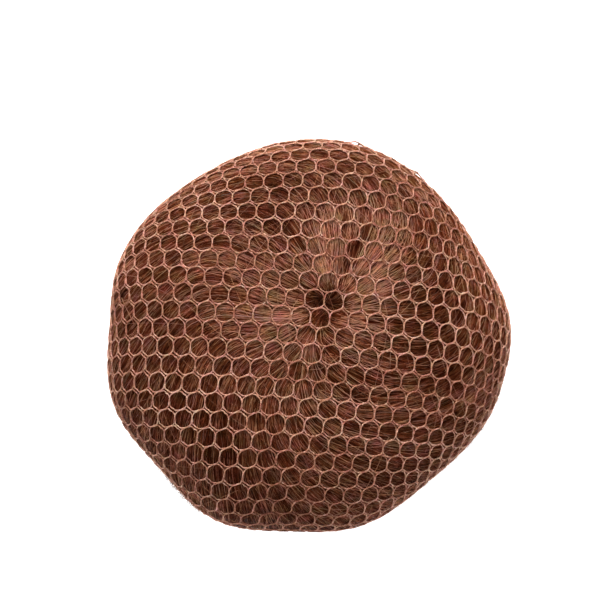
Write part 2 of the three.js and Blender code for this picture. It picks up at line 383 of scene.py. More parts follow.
def makePly():
    # The twist of a two-ply yarn, from a UV that runs round it and in millimetres along it
    group = bpy.data.node_groups.new("ply", "ShaderNodeTree")
    addSocket(group, "Pitch", "NodeSocketFloat", "INPUT", 1.0)
    addSocket(group, "Ply", "NodeSocketFloat", "OUTPUT")
    entry = group.nodes.new("NodeGroupInput")
    leave = group.nodes.new("NodeGroupOutput")
    wrap = group.nodes.new("ShaderNodeUVMap")
    wrap.uv_map = "UVMap"
    apart = group.nodes.new("ShaderNodeSeparateXYZ")
    group.links.new(wrap.outputs["UV"], apart.inputs["Vector"])
    turns = addMath(group, "DIVIDE", apart.outputs["Y"], entry.outputs["Pitch"])
    helix = addMath(group, "ADD", turns, apart.outputs["X"])
    wave = addMath(group, "SINE", addMath(group, "MULTIPLY", helix, 2 * math.pi))
    group.links.new(addMath(group, "ABSOLUTE", wave), leave.inputs["Ply"])
    return group


ply = makePly()


def newMaterial(name):
    material = bpy.data.materials.new(name)
    material.use_nodes = True
    return material, material.node_tree, material.node_tree.nodes["Principled BSDF"]


def readValue(tree, name):
    reader = tree.nodes.new("ShaderNodeAttribute")
    reader.attribute_name = name
    return reader.outputs["Fac"]


def placeTint(tree, look):
    tint = tree.nodes.new("ShaderNodeGroup")
    tint.node_tree = strandTint
    for name in ("Dark", "Middle", "Light"):
        tint.inputs[name].default_value = (*look[name.lower()], 1)
    tint.inputs["Fine Scale"].default_value = look["fineScale"]
    tint.inputs["Broad Scale"].default_value = look["broadScale"]
    tint.inputs["Change"].default_value = look["change"]
    tint.inputs["Warmth Scale"].default_value = look["warmthScale"]
    tint.inputs["Warmth Change"].default_value = look["warmthChange"]
    return tint


def fibreMaterial(name, look, bump=0.0, hasTone=True, hasWarmth=False):
    # A twisted yarn where the look has a pitch, and otherwise plain hair
    material, tree, shader = newMaterial(name)
    tint = placeTint(tree, look)
    height = tint.outputs["Height"]
    tint.inputs["Tone"].default_value = look["tone"]
    if hasTone:
        tone = readValue(tree, "tone")
        if "pitch" in look:
            twist = tree.nodes.new("ShaderNodeGroup")
            twist.node_tree = ply
            twist.inputs["Pitch"].default_value = look["pitch"]
            height = twist.outputs["Ply"]
            # Painted shade in the grooves of the twist, and lighter ridges
            tone = addMath(tree, "MULTIPLY_ADD", height, look["plyGrooveShade"], tone)
        tree.links.new(tone, tint.inputs["Tone"])
    if hasWarmth:
        tree.links.new(readValue(tree, "warmth"), tint.inputs["Warmth"])
    tree.links.new(tint.outputs["Color"], shader.inputs["Base Color"])
    tree.links.new(tint.outputs["Roughness"], shader.inputs["Roughness"])
    shader.inputs["Specular IOR Level"].default_value = look["gloss"]
    if bump:
        relief = tree.nodes.new("ShaderNodeBump")
        relief.inputs["Distance"].default_value = bump / perMetre
        tree.links.new(height, relief.inputs["Height"])
        tree.links.new(relief.outputs["Normal"], shader.inputs["Normal"])
    return material


# The net

draw = np.random.default_rng(11)  # seeded, so that each run is the same
netLook = {
    "dark": (0.19, 0.062, 0.034),
    "middle": (0.42, 0.18, 0.114),
    "light": (0.72, 0.43, 0.31),
    "fineScale": 2200.0,
    "broadScale": 60.0,
    "change": 1.05,
    "warmthScale": 700.0,
    "warmthChange": 0.5,
    "gloss": 0.06,
    "pitch": 0.9,  # of the yarn's twist
    # painted shade in the grooves of the yarn's twist
    "plyGrooveShade": 0.34,
    "tone": 0.3,
}

net = {
    "yarnRadius": 0.16,
    "thickness": (0.74, 1.26),  # of single places along it, against that
    "sides": 4,
    "stepsPerArch": 15,  # each yarn arches over one cell and then under the next
    "hiddenEvery": 2,  # past the widest outline, only every second place is kept
    "shortest": 3,  # arches, for a row that is kept
    "cells": 40,  # to each side of the middle, before a row is cut off at the band
    "inset": 0.33,  # the yarn's middle, under the net's outside
    "crossing": 0.11,  # how far the two yarns of a pillar pass over and under each other
    "unevenness": 0.012,  # of whole arches, in cells
    "wobble": 0.007,
    "reach": 0.475,  # from a cell's middle to its rim, in cells
    "longer": 0.08,  # how much longer that is towards 150 degrees
    "longerWidth": 22,  # degrees, and so are the other widths
    "nearer": 0.032,  # how much shorter at the wall at 60 degrees, where the pair stands apart
    "nearerWidth": 14,
    "pinch": 0.016,  # how much longer at the walls at 0 and 120, where the pair touches
    "pinchWidth": 8,
    "slotOpening": 0.024,  # how much shorter still where the wall at 60 is open
    "slotWidth": 30,
    "slotFrom": 1.0,  # the walls begin to open so many cells to the lower left of the middle
    "slotFull": 7.0,
    "slotTouch": 0.024,  # how much longer in the middle of a closed wall
    "touchWidth": 7,
    "touchShare": (0.7, 0.5),  # how much of that a wall has: its mean and its spread
    "touchMost": 1.3,
    "knot": 0.026,  # how far the yarns close in where three walls meet, at every second corner
    "knotWidth": 11,
    "toneSpread": (0.05, 0.17),  # from yarn to yarn, and along each
    "edgeRun": 3.0,  # how much of the mesh is gathered along the band
    "edgePitch": (4.2, 5.4),  # the least and most between the rows below the rim
    "cover": 0.34,  # how much of the net's ground its yarns cover
    "pitch": 4.45,  # of the cells, before they were stretched over the bun
    "rimLength": 54.0,  # past this the net is drawn straight in to the band
}

# Where a few cells of the net lie over the crown. Rows count down and cells to the right
netPlaces = [
    {"cell": -13, "row": 9, "x": -37.2, "y": -26.6},
    {"cell": -12, "row": 2, "x": -41.8, "y": 1.3},
    {"cell": -9, "row": 6, "x": -26.2, "y": -15.8},
    {"cell": -9, "row": 13, "x": -18.3, "y": -43.5},
    {"cell": -7, "row": -5, "x": -30.7, "y": 28.5},
    {"cell": -5, "row": -3, "x": -20.7, "y": 21.9},
    {"cell": -4, "row": 9, "x": -1.1, "y": -29.2},
    {"cell": -2, "row": 2, "x": -0.5, "y": 0.0},
    {"cell": -1, "row": 11, "x": 14.5, "y": -37.6},
    {"cell": 1, "row": -9, "x": -2.4, "y": 42.3},
    {"cell": 4, "row": -5, "x": 17.4, "y": 27.3},
    {"cell": 5, "row": 2, "x": 29.4, "y": -3.5},
    {"cell": 6, "row": 5, "x": 35.6, "y": -17.3},
    {"cell": 7, "row": -8, "x": 24.8, "y": 36.5},
    {"cell": 10, "row": -3, "x": 40.2, "y": 14.0},
]
rowPitch = math.sqrt(3) / 2  # in cells
drapeSpan = 12  # cells, by which the drape's terms are measured


def meshPlace(cell, row):
    # A cell's middle on the net's own mesh, in cells
    return np.stack([cell + row / 2, -row * rowPitch], axis=-1)


def cubicTerms(mesh):
    across, up = mesh[..., 0] / drapeSpan, mesh[..., 1] / drapeSpan
    return np.stack([across**i * up**k for i in range(4) for k in range(4 - i)], axis=-1)


def fitDrape():
    # The smooth stretch of the mesh that brings the places above where they lie
    table = {key: np.array([float(row[key]) for row in netPlaces]) for key in netPlaces[0]}
    terms = cubicTerms(meshPlace(table["cell"], table["row"]))
    return np.linalg.lstsq(terms, flatPlace(table["x"], table["y"]), rcond=None)[0]


drape = fitDrape()


def overCrown(mesh):
    return cubicTerms(mesh) @ drape


def findPole():
    # The cell place that lies on the apex
    pole = np.zeros(2)
    for _ in range(20):
        step = 0.01
        slope = [(overCrown(pole + side) - overCrown(pole)) / step for side in np.eye(2) * step]
        pole = pole - overCrown(pole) @ np.linalg.inv(np.array(slope))
    return pole


netPole = findPole()


def onBun(mesh):
    # Draws the mesh over the crown, and from the rim straight down and in to the band
    back = 0.02  # a step back along the spoke, which gives the rows' pitch at the rim
    spoke = mesh - netPole
    low, high = np.zeros(mesh.shape[:-1]), np.ones(mesh.shape[:-1])
    reach = lengthOf(spoke)
    for _ in range(30):
        share = (low + high) / 2
        flat = overCrown(netPole + spoke * share[..., None])
        inside = lengthOf(flat) < net["rimLength"]
        low, high = np.where(inside, share, low), np.where(inside, high, share)
    edge = overCrown(netPole + spoke * low[..., None])
    nearly = overCrown(netPole + spoke * (low - back)[..., None])
    length = lengthOf(edge)
    pitch = (length - lengthOf(nearly)) / np.maximum(back * reach, 1e-9)
    pitch = np.clip(pitch, *net["edgePitch"])
    extra = reach * (1 - low)
    length = length + np.where(low < 1 - 1e-6, extra * pitch, 0)
    return polar(length, bearingOf(edge))


# Loops at the rim that stand off the hair
netLifts = [
    {"bearing": 75.8, "length": 60.5, "width": 2.2, "rise": 0.6},
    {"bearing": 56.5, "length": 60.0, "width": 2.6, "rise": 0.5},
    {"bearing": 100.0, "length": 59.0, "width": 1.6, "rise": 0.25},
]


def liftOff(flat):
    rise = np.zeros(flat.shape[:-1])
    for row in netLifts:
        bearing = math.radians(row["bearing"])
        top = np.array([math.cos(bearing), math.sin(bearing)]) * row["length"]
        gap = np.linalg.norm(flat - top, axis=-1) / row["width"]
        rise = rise + row["rise"] * np.exp(-(gap**2))
    return rise


def hump(angle, middle, width):
    # 1 at the middle angle and straight across the cell from it, and next to 0 past twice
    # the width
    gap = (angle - middle + 90) % 180 - 90
    return np.exp(-((gap / width) ** 2))


def rimReach(angle, slot, touch):
    # slot is how open the wall at 60 degrees is, and touch brings its pair together in the middle
    reach = net["reach"] + net["longer"] * hump(angle, 150, net["longerWidth"])
    reach = reach - net["nearer"] * hump(angle, 60, net["nearerWidth"])
    for wall in (0, 120):
        reach = reach + net["pinch"] * hump(angle, wall, net["pinchWidth"])
    fromWall = np.abs(angle - 60)
    opening = np.clip(1 - fromWall / net["slotWidth"], 0, 1)
    reach = reach - slot * net["slotOpening"] * opening
    return reach + touch * (fromWall < net["touchWidth"])


def yarnRow(row, phase):
    # One yarn along a row: over the top of one cell and under the bottom of the next
    angle = 180 - np.arange(net["stepsPerArch"]) * 180 / net["stepsPerArch"]
    mesh, lift = [], []
    for cell in range(-net["cells"], net["cells"] + 1):
        over = (cell + phase) % 2 == 0
        centre = meshPlace(np.float64(cell), np.float64(row))
        toLowerLeft = -(centre - netPole).sum() / math.sqrt(2)
        slot = (toLowerLeft - net["slotFrom"]) / (net["slotFull"] - net["slotFrom"])
        slot = np.clip(slot, 0, 1)
        share = np.clip(draw.normal(*net["touchShare"]), 0, net["touchMost"])
        touch = net["slotTouch"] * (1 - slot) * share
        reach = rimReach(angle if over else 180 - angle, slot, touch)
        turn = np.radians(angle if over else -angle)
        fromKnot = np.degrees(turn) % 120 - 90
        reach = reach + net["knot"] * np.exp(-((fromKnot / net["knotWidth"]) ** 2))
        arch = np.stack([np.cos(turn), np.sin(turn)], axis=-1) * reach[:, None]
        shift = draw.normal(0, net["unevenness"], 2)
        wobble = draw.normal(0, net["wobble"], arch.shape)
        mesh.append(centre + arch + shift * np.sin(turn)[:, None] + wobble)
        lift.append(-np.cos(np.radians(angle)) * (1 if over else -1))
    return np.concatenate(mesh), np.concatenate(lift) * net["crossing"]


def longestRun(inside):
    # The first and last place of the longest stretch that is inside
    edges = np.flatnonzero(np.diff(np.concatenate([[0], inside.astype(int), [0]])))
    runs = edges.reshape(-1, 2)
    return max(runs, key=lambda run: run[1] - run[0]) if len(runs) else (0, 0)


def addNetPart(name, rows):
    parts, tones, arches = [], [], 0
    for row in rows:
        for phase in (0, 1):
            mesh, lift = yarnRow(row, phase)
            flat = onBun(mesh)
            length = lengthOf(flat)
            inside = length < mouthLength + net["edgeRun"]
            flat = flat * np.minimum(1, mouthLength / np.maximum(length, 1))[:, None]
            start, end = longestRun(inside)
            if end - start < net["shortest"] * net["stepsPerArch"]:
                continue
            arches += (end - start) / net["stepsPerArch"]
            kept = np.arange(start, end)
            kept = kept[(length[kept] < equatorLength) | (kept % net["hiddenEvery"] == 0)]
            point, _, _, normal = bunFrame(flat[kept])
            height = lift[kept] - net["inset"] + liftOff(flat[kept])
            point = point + normal * height[:, None]
            radii = np.full((1, len(kept)), net["yarnRadius"])
            radii = radii * draw.uniform(*net["thickness"], radii.shape)
            parts.append(tubes(point[None], normal[None], radii, net["sides"]))
            ofYarn, alongYarn = net["toneSpread"]
            tone = draw.normal(netLook["tone"], ofYarn) + draw.normal(0, alongYarn, len(kept))
            # Painted rim light on the yarn near the widest outline
            tone = tone + paintedRimLight(flat[kept])
            tones.append(np.repeat(tone, net["sides"]))
    corners, faces, wraps = joined(parts)
    piece = addMesh(name, corners, faces, yarnMaterial, wraps)
    addValue(piece, "tone", np.concatenate(tones))
    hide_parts("hair_net")
    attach(piece, "root")
    # Its length, laid flat
    length = len(parts) / 2 * rowPitch * net["pitch"] / perMetre


yarnMaterial = fibreMaterial("netYarn", netLook, bump=0.08)
addNetPart("net_upper_rows", range(-26, -4))
addNetPart("net_middle_rows", range(-4, 6))
addNetPart("net_lower_rows", range(6, 30))

# The hair

draw = np.random.default_rng(4)  # its own, so that it stays the same when the net changes
hairLook = {
    "dark": (0.044, 0.006, 0.001),
    "middle": (0.156, 0.042, 0.0155),
    "light": (0.465, 0.222, 0.136),
    "fineScale": 700.0,
    "broadScale": 330.0,
    "change": 0.42,
    "warmthScale": 330.0,
    "warmthChange": 0.75,
    "gloss": 0.02,
    # the pad's fixed tone, near the dark end: painted shade of the hair's depths
    "tone": 0.1,
}

hairMaterial = fibreMaterial("hairStrands", hairLook, hasWarmth=True)
# The pad under the strands has the fixed dark tone: painted shade in the gaps between strands
coreMaterial = fibreMaterial("hairCore", hairLook, bump=0.2, hasTone=False)

hair = {
    "strands": 8000,
    "pieces": 4,
    "steps": 12,
    "length": (26.0, 58.0),
    "radius": (0.048, 0.1),
    "tip": 0.3,  # how thick a strand's ends are, against its middle
    "heading": 6.5,  # degrees to either side of the lie
    "wave": (0.05, 0.26),  # how far a strand swings to its sides
    "waveLength": (12.0, 24.0),
    "sides": 3,
    "steepest": 0.3,  # the least that a way out may show from above
    "inset": 0.62,  # the top layer's middle, under the net's outside
    "layer": 0.55,
    "ends": 0.7,  # how far a strand's ends dive under its neighbours
    "endShare": 0.3,  # of each half of the strand
    "rimPress": 0.65,  # how much shallower the layers are at the widest outline
    "rimSwell": 0.2,  # how far the hair swells into the mesh there
    "locks": 24,
    "lockDepth": 0.3,
    "lockTone": 0.03,  # how much one lock differs from the next
    "tone": (0.5, 0.27),  # mean and spread
    "layerShade": 0.25,  # painted shade: how much darker the strands are painted for each millimetre further down
    "warmth": (0.5, 0.17),
    "wayBack": 70.0,  # further than the hole is from any strand
    "wayBackSteps": 35,
    "lastLength": 87.0,  # on the flat net, where the strands end at the back
    "edgeMargin": 2.0,  # no strand starts nearer to there
    "thinning": 50.0,  # nearer to the apex than this there are fewer starts, to keep them even
}

hole = {
    "x": 4.0,
    "y": 7.1,
    "radius": 4.2,
    "wider": 1.2,  # how much wider it is than high
    "depth": 7.0,
    "power": 1.3,  # 1 would make it a cone
    # painted shade in the hole, darkest at its middle
    "shade": 0.45,
    "stop": 1.5,  # strands stop so near its middle
}

# Partings between locks, each from one place over the crown to another
# The shade darkens the hair along each row: painted shade in the gaps between locks
partings = [
    {"from": (8.3, 15.5), "to": (13.3, 26.0), "width": 1.3, "depth": 0.9, "shade": 0.45},
    {"from": (10.4, 18.6), "to": (11.5, 21.8), "width": 1.2, "depth": 0.7, "shade": 0.4},
    {"from": (-34.0, 22.0), "to": (-22.0, 21.8), "width": 1.3, "depth": 0.5, "shade": 0.2},
    {"from": (-10.5, 37.5), "to": (-5.0, 32.5), "width": 1.5, "depth": 0.5, "shade": 0.28},
    {"from": (25.5, 19.0), "to": (28.5, 15.5), "width": 1.3, "depth": 0.4, "shade": 0.25},
    {"from": (-4.2, -3.2), "to": (-2.4, -8.0), "width": 1.1, "depth": 0.5, "shade": 0.28},
    {"from": (12.6, -1.4), "to": (17.0, -5.0), "width": 1.1, "depth": 0.4, "shade": 0.22},
    {"from": (-34.0, -3.0), "to": (-31.0, -7.0), "width": 1.3, "depth": 0.4, "shade": 0.22},
    {"from": (24.0, -6.0), "to": (33.0, -11.0), "width": 3.2, "depth": 0.2, "shade": 0.2},
    {"from": (-24.0, -26.0), "to": (-12.0, -34.0), "width": 4.0, "depth": 0.2, "shade": 0.14},
    {"from": (0.5, 2.6), "to": (5.5, 3.0), "width": 2.4, "depth": 0.5, "shade": 0.26},
]

# Places in the hair that are darker than the rest or, where the shade is below zero, lighter
# Some are the locks' own tones, and some are painted light and shade, as the sheen above the hole
hairTonesAndPaintedLight = [
    {"from": (-26.0, 25.5), "to": (0.0, 14.4), "width": 3.0, "shade": -0.06},
    {"from": (9.0, -3.4), "to": (12.0, -5.2), "width": 3.2, "shade": 0.1},
    {"from": (6.5, -20.5), "to": (9.0, -21.5), "width": 3.0, "shade": 0.13},
    {"from": (13.0, -14.0), "to": (17.5, -17.5), "width": 2.8, "shade": 0.14},
    {"from": (-32.0, -18.0), "to": (-25.5, -19.5), "width": 4.6, "shade": 0.23},
    {"from": (31.0, 17.0), "to": (32.0, 13.0), "width": 3.0, "shade": 0.12},
    {"from": (26.0, -0.4), "to": (30.0, -2.0), "width": 3.2, "shade": 0.14},
    {"from": (-28.5, 9.3), "to": (-23.0, 7.2), "width": 3.0, "shade": -0.12},
    {"from": (-2.0, -8.0), "to": (0.6, -9.0), "width": 3.4, "shade": 0.12},
    {"from": (-26.0, 0.4), "to": (-24.0, -0.4), "width": 3.0, "shade": 0.08},
    {"from": (-18.0, -16.0), "to": (-16.0, -18.6), "width": 3.0, "shade": -0.1},
    {"from": (7.5, 6.6), "to": (11.0, 7.0), "width": 2.6, "shade": -0.12},
    {"from": (4.6, 15.0), "to": (5.6, 27.0), "width": 3.4, "shade": -0.36},
    {"from": (16.0, 16.0), "to": (19.0, 24.5), "width": 4.6, "shade": -0.28},
    {"from": (12.5, 3.5), "to": (16.0, 9.0), "width": 3.6, "shade": -0.34},
    {"from": (-7.5, 4.7), "to": (-5.5, 4.7), "width": 4.2, "shade": -0.24},
    {"from": (-28.0, 18.5), "to": (-19.0, 18.5), "width": 4.0, "shade": -0.16},
    {"from": (-8.0, 27.0), "to": (-3.0, 21.5), "width": 4.0, "shade": 0.2},
    {"from": (34.0, 0.0), "to": (34.0, 7.0), "width": 5.0, "shade": 0.14},
    {"from": (-19.0, -14.0), "to": (-11.0, -7.0), "width": 9.0, "shade": 0.11},
    {"from": (17.0, -15.0), "to": (23.0, -13.0), "width": 6.0, "shade": -0.12},
    {"from": (20.0, 4.0), "to": (29.0, 5.5), "width": 5.0, "shade": 0.22},
    {"from": (12.6, 26.0), "to": (14.0, 29.0), "width": 3.4, "shade": -0.16},
    {"from": (25.0, 13.5), "to": (27.5, 16.5), "width": 3.4, "shade": -0.1},
    {"from": (-31.5, 26.5), "to": (-30.5, 27.5), "width": 4.0, "shade": -0.08},
    {"from": (22.0, 35.5), "to": (27.0, 33.5), "width": 4.0, "shade": -0.12},
    {"from": (42.0, -8.0), "to": (39.5, -17.0), "width": 3.6, "shade": -0.12},
    {"from": (19.5, -1.2), "to": (20.5, -2.0), "width": 3.4, "shade": 0.16},
    {"from": (-2.0, 20.5), "to": (0.0, 21.0), "width": 3.0, "shade": -0.14},
    {"from": (5.6, 10.8), "to": (8.0, 10.0), "width": 2.4, "shade": -0.16},
]

# The hair's lie as seen from above: how many degrees it turns anticlockwise from straight
# outwards, near the hole, further out and towards the rim
hairLie = [
    {"bearing": 0, "near": 10, "middle": 35, "rim": 80},
    {"bearing": 60, "near": 10, "middle": 35, "rim": 80},
    {"bearing": 120, "near": 15, "middle": 35, "rim": 70},
    {"bearing": 150, "near": 0, "middle": 5, "rim": 55},
    {"bearing": 180, "near": -15, "middle": 10, "rim": 40},
    {"bearing": 240, "near": -5, "middle": 20, "rim": 35},
    {"bearing": 270, "near": 50, "middle": 50, "rim": 55},
    {"bearing": 300, "near": 35, "middle": 65, "rim": 60},
    {"bearing": 330, "near": 15, "middle": 30, "rim": 70},
    {"bearing": 360, "near": 10, "middle": 35, "rim": 80},
]
lieReach = {"near": 20, "middle": 26, "rim": 35}  # how far these places are from the hole
lieMost = 86  # degrees
lieWaver = {"degrees": 4, "x": 7.1, "y": 6.3, "phase": 1.3}  # a small swing of the lie

# How much lighter the hair is by its distance from the hole
toneByReach = [
    {"reach": 0, "lighter": 0.0},
    {"reach": 5, "lighter": 0.05},
    {"reach": 9, "lighter": 0.2},
    {"reach": 15, "lighter": 0.22},
    {"reach": 23, "lighter": 0.08},
    {"reach": 32, "lighter": -0.03},
    {"reach": 60, "lighter": 0.0},
]


def readLie(bearing, reach):
    near, middle, rim = [readTable(hairLie, "bearing", name, bearing % 360) for name in lieReach]
    share = np.interp(reach, list(lieReach.values()), [0, 1, 2])
    inner = near + (middle - near) * share
    outer = middle + (rim - middle) * (share - 1)
    return np.where(share < 1, inner, outer)


holeMiddle = np.array([hole["x"], hole["y"]])
holeFlat = flatPlace(holeMiddle[:1], holeMiddle[1:])[0]
holePoint = bunPoint(holeFlat)


def lieOfHair(flat, heading):
    # The way the hair runs, as a step on the flat net for each millimetre along the bun
    point, alongX, alongY, normal = bunFrame(flat)
    out = point - holePoint
    out = unit(out - normal * dot(out, normal)[..., None], 1e-9)
    away = point[..., :2] - holeMiddle
    turn = readLie(np.degrees(bearingOf(away)), lengthOf(away))
    waver = np.sin(point[..., 0] / lieWaver["x"] + lieWaver["phase"])
    waver = waver * np.sin(point[..., 1] / lieWaver["y"])
    turn = np.minimum(turn + lieWaver["degrees"] * waver, lieMost)
    turn = np.radians(turn + heading)[..., None]
    # On a slope the way out is longer than it looks from above
    seen = np.clip(lengthOf(out), hair["steepest"], 1)[..., None]
    way = unit(out * np.cos(turn) / seen + np.cross(normal, out) * np.sin(turn), 0)
    # The step on the flat net that comes to this way on the bun
    xx, yy, xy = dot(alongX, alongX), dot(alongY, alongY), dot(alongX, alongY)
    wx, wy = dot(alongX, way), dot(alongY, way)
    scale = 1 / (xx * yy - xy * xy)
    return np.stack([(yy * wx - xy * wy) * scale, (xx * wy - xy * wx) * scale], axis=-1)


def follow(start, lengths, steps, heading):
    # Follows the hair's lie from each start, and gives places by strand and step
    path = [start]
    for _ in range(steps):
        step = (lengths / steps)[:, None]
        half = path[-1] + lieOfHair(path[-1], heading) * step / 2
        after = path[-1] + lieOfHair(half, heading) * step
        stretch = np.maximum(1, lengthOf(after) / hair["lastLength"])
        after = after / stretch[:, None]
        # A strand that comes to the hole stays there
        sunk = np.linalg.norm(path[-1] - holeFlat, axis=-1) < hole["stop"]
        path.append(np.where(sunk[:, None] & (lengths < 0)[:, None], path[-1], after))
    return np.stack(path, axis=1)


def holeReach(point):
    # The distance from the hole's middle, as a share of its radius there
    across = (point[..., 0] - hole["x"]) / hole["wider"]
    return np.hypot(across, point[..., 1] - hole["y"]) / hole["radius"]


def besideRow(point, row):
    # 1 on the row's line, and next to 0 further from it than about twice its width
    start = np.array(row["from"])
    run = np.array(row["to"]) - start
    share = np.clip(((point[..., :2] - start) @ run) / (run @ run), 0, 1)
    gap = np.linalg.norm(point[..., :2] - (start + share[..., None] * run), axis=-1)
    return np.exp(-((gap / row["width"]) ** 2))


def dip(point):
    # How deep the hair sinks at the hole and in the partings, and how much painted shade darkens
    # it there and at the other listed places, less the tone by distance from the hole
    inside = np.clip(1 - holeReach(point), 0, 1)
    depth = hole["depth"] * inside ** hole["power"]
    shade = hole["shade"] * inside
    for row in partings:
        inside = besideRow(point, row)
        depth = depth + row["depth"] * inside
        shade = shade + row["shade"] * inside
    for row in hairTonesAndPaintedLight:
        shade = shade + row["shade"] * besideRow(point, row)
    reach = lengthOf(point[..., :2] - holeMiddle)
    return depth, shade - readTable(toneByReach, "reach", "lighter", reach)


def scatter(count):
    # Starts spread evenly over the bun, down to the edge of its back
    tries = 4 * count
    length = (hair["lastLength"] - hair["edgeMargin"]) * draw.random(tries)
    flat = polar(length, 2 * np.pi * draw.random(tries))
    point = bunPoint(flat)
    wide = lengthOf(point[:, :2] - bun["apex"])
    clear = holeReach(point) > 1
    return flat[clear & (draw.random(tries) < wide / hair["thinning"])][:count]


def addWarmth(piece, strands, places):
    # Each strand is a little redder or greyer than the next
    warmth = draw.normal(*hair["warmth"], strands)
    addValue(piece, "warmth", np.repeat(warmth, places * hair["sides"]))


def addStrands(name, path, inset, tone, radii):
    # path is strands by places by 2 on the flat net
    point, _, _, normal = bunFrame(path)
    depth, shade = dip(point)
    point = point - normal * inset[..., None]
    point[..., 2] -= depth
    corners, faces, wraps = tubes(point, normal, radii, hair["sides"])
    piece = addMesh(name, corners, faces, hairMaterial, wraps)
    # The strand's own tone, less the painted shade from dip, plus the painted rim light
    shown = tone - shade + paintedRimLight(path)
    addValue(piece, "tone", np.repeat(shown.ravel(), hair["sides"]))
    addWarmth(piece, path.shape[0], path.shape[1])
    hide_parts("hair_pad")
    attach(piece, "root")
    print(name, len(path), "strands", len(piece.data.polygons), "faces")


def waves(path, lengths):
    # A slow swing of each strand to its two sides
    count, places = path.shape[:2]
    along = unit(np.gradient(path, axis=1), 1e-9)
    side = np.stack([-along[..., 1], along[..., 0]], axis=-1)
    run = np.linspace(0, 1, places) * lengths[:, None]
    phase = run / draw.uniform(*hair["waveLength"], (count, 1)) + draw.random((count, 1))
    swing = np.sin(2 * np.pi * phase) * draw.uniform(*hair["wave"], (count, 1))
    return side * swing[..., None]


def addLocks():
    count = hair["strands"]
    start = scatter(count)
    heading = draw.normal(0, hair["heading"], count)
    lengths = draw.uniform(*hair["length"], count)
    half = hair["steps"] // 2
    inward = follow(start, -lengths / 2, half, heading)
    outward = follow(start, lengths / 2, half, heading)
    path = np.concatenate([inward[:, :0:-1], outward], axis=1)
    path = path + waves(path, lengths)
    # The way back to the hole gives the lock that a strand belongs to
    wayBack = np.full(count, -hair["wayBack"])
    root = bunPoint(follow(start, wayBack, hair["wayBackSteps"], 0 * heading)[:, -1])
    lockPlace = bearingOf(root[:, :2] - holeMiddle) / (2 * np.pi) * hair["locks"]
    seam = np.abs(lockPlace - np.round(lockPlace)) * 2
    places = path.shape[1]
    share = np.abs(np.linspace(-1, 1, places))
    ends = hair["ends"] * np.clip(share - (1 - hair["endShare"]), 0, 1) / hair["endShare"]
    layer = draw.random(count) * hair["layer"] + seam**2 * hair["lockDepth"]
    rim = rimShare(path)
    inset = hair["inset"] + (layer[:, None] + ends) * (1 - hair["rimPress"] * rim)
    inset = inset - hair["rimSwell"] * rim
    lockTone = draw.normal(0, hair["lockTone"], hair["locks"])
    lock = (np.round(lockPlace) % hair["locks"]).astype(int)
    # Painted shade: strands that lie deeper, as at the seams between locks, are darker
    tone = lockTone[lock] + draw.normal(*hair["tone"], count) - hair["layerShade"] * layer
    tone = tone[:, None] * np.ones(places)
    radii = draw.uniform(*hair["radius"], count)[:, None] * np.ones(places)
    radii[:, [0, -1]] *= hair["tip"]
    order = np.argsort(lockPlace)
    for k, part in enumerate(np.array_split(order, hair["pieces"])):
        addStrands(f"hair_locks_{k + 1}", path[part], inset[part], tone[part], radii[part])


# Thin single hairs that lie across the locks, just under the net
strays = {
    "count": 900,
    "steps": 6,
    "radius": (0.04, 0.065),
    "length": (8.0, 26.0),
    "heading": (12, 45),  # some keep near the lie, and some cross it
    "inset": 0.62,
    "layer": 0.15,
    "tone": (0.78, 0.16),
}


def addStrays():
    count = strays["count"]
    start = scatter(count)
    heading = draw.normal(0, 1, count) * draw.choice(strays["heading"], count)
    path = follow(start, draw.uniform(*strays["length"], count), strays["steps"], heading)
    along = np.ones(strays["steps"] + 1)
    inset = (strays["inset"] + draw.random((count, 1)) * strays["layer"]) * along
    tone = draw.normal(*strays["tone"], count)[:, None] * along
    radii = draw.uniform(*strays["radius"], count)[:, None] * along
    addStrands("stray_hairs", path, inset, tone, radii)


# The closed pad under the strands
core = {
    "columns": 120,
    "holeRings": (0.004, 0.03, 0.06, 0.09),  # shares of the way from the hole to the outline
    "crownRings": 26,
    "crownStart": 0.13,
    "crownEnd": 0.9999,
    "sideRings": 16,
    "inset": 1.3,
    "rimShallow": 0.58,  # how much less that is at the widest outline
    "rimWidth": 6.0,
    "backHeight": 3.8,
    "backEdge": (1.5, 4.0),  # how far in from the back's edge its last two rings are
    "backShare": (0.7, 1.0),  # and how high they are, as shares of the back's height
}


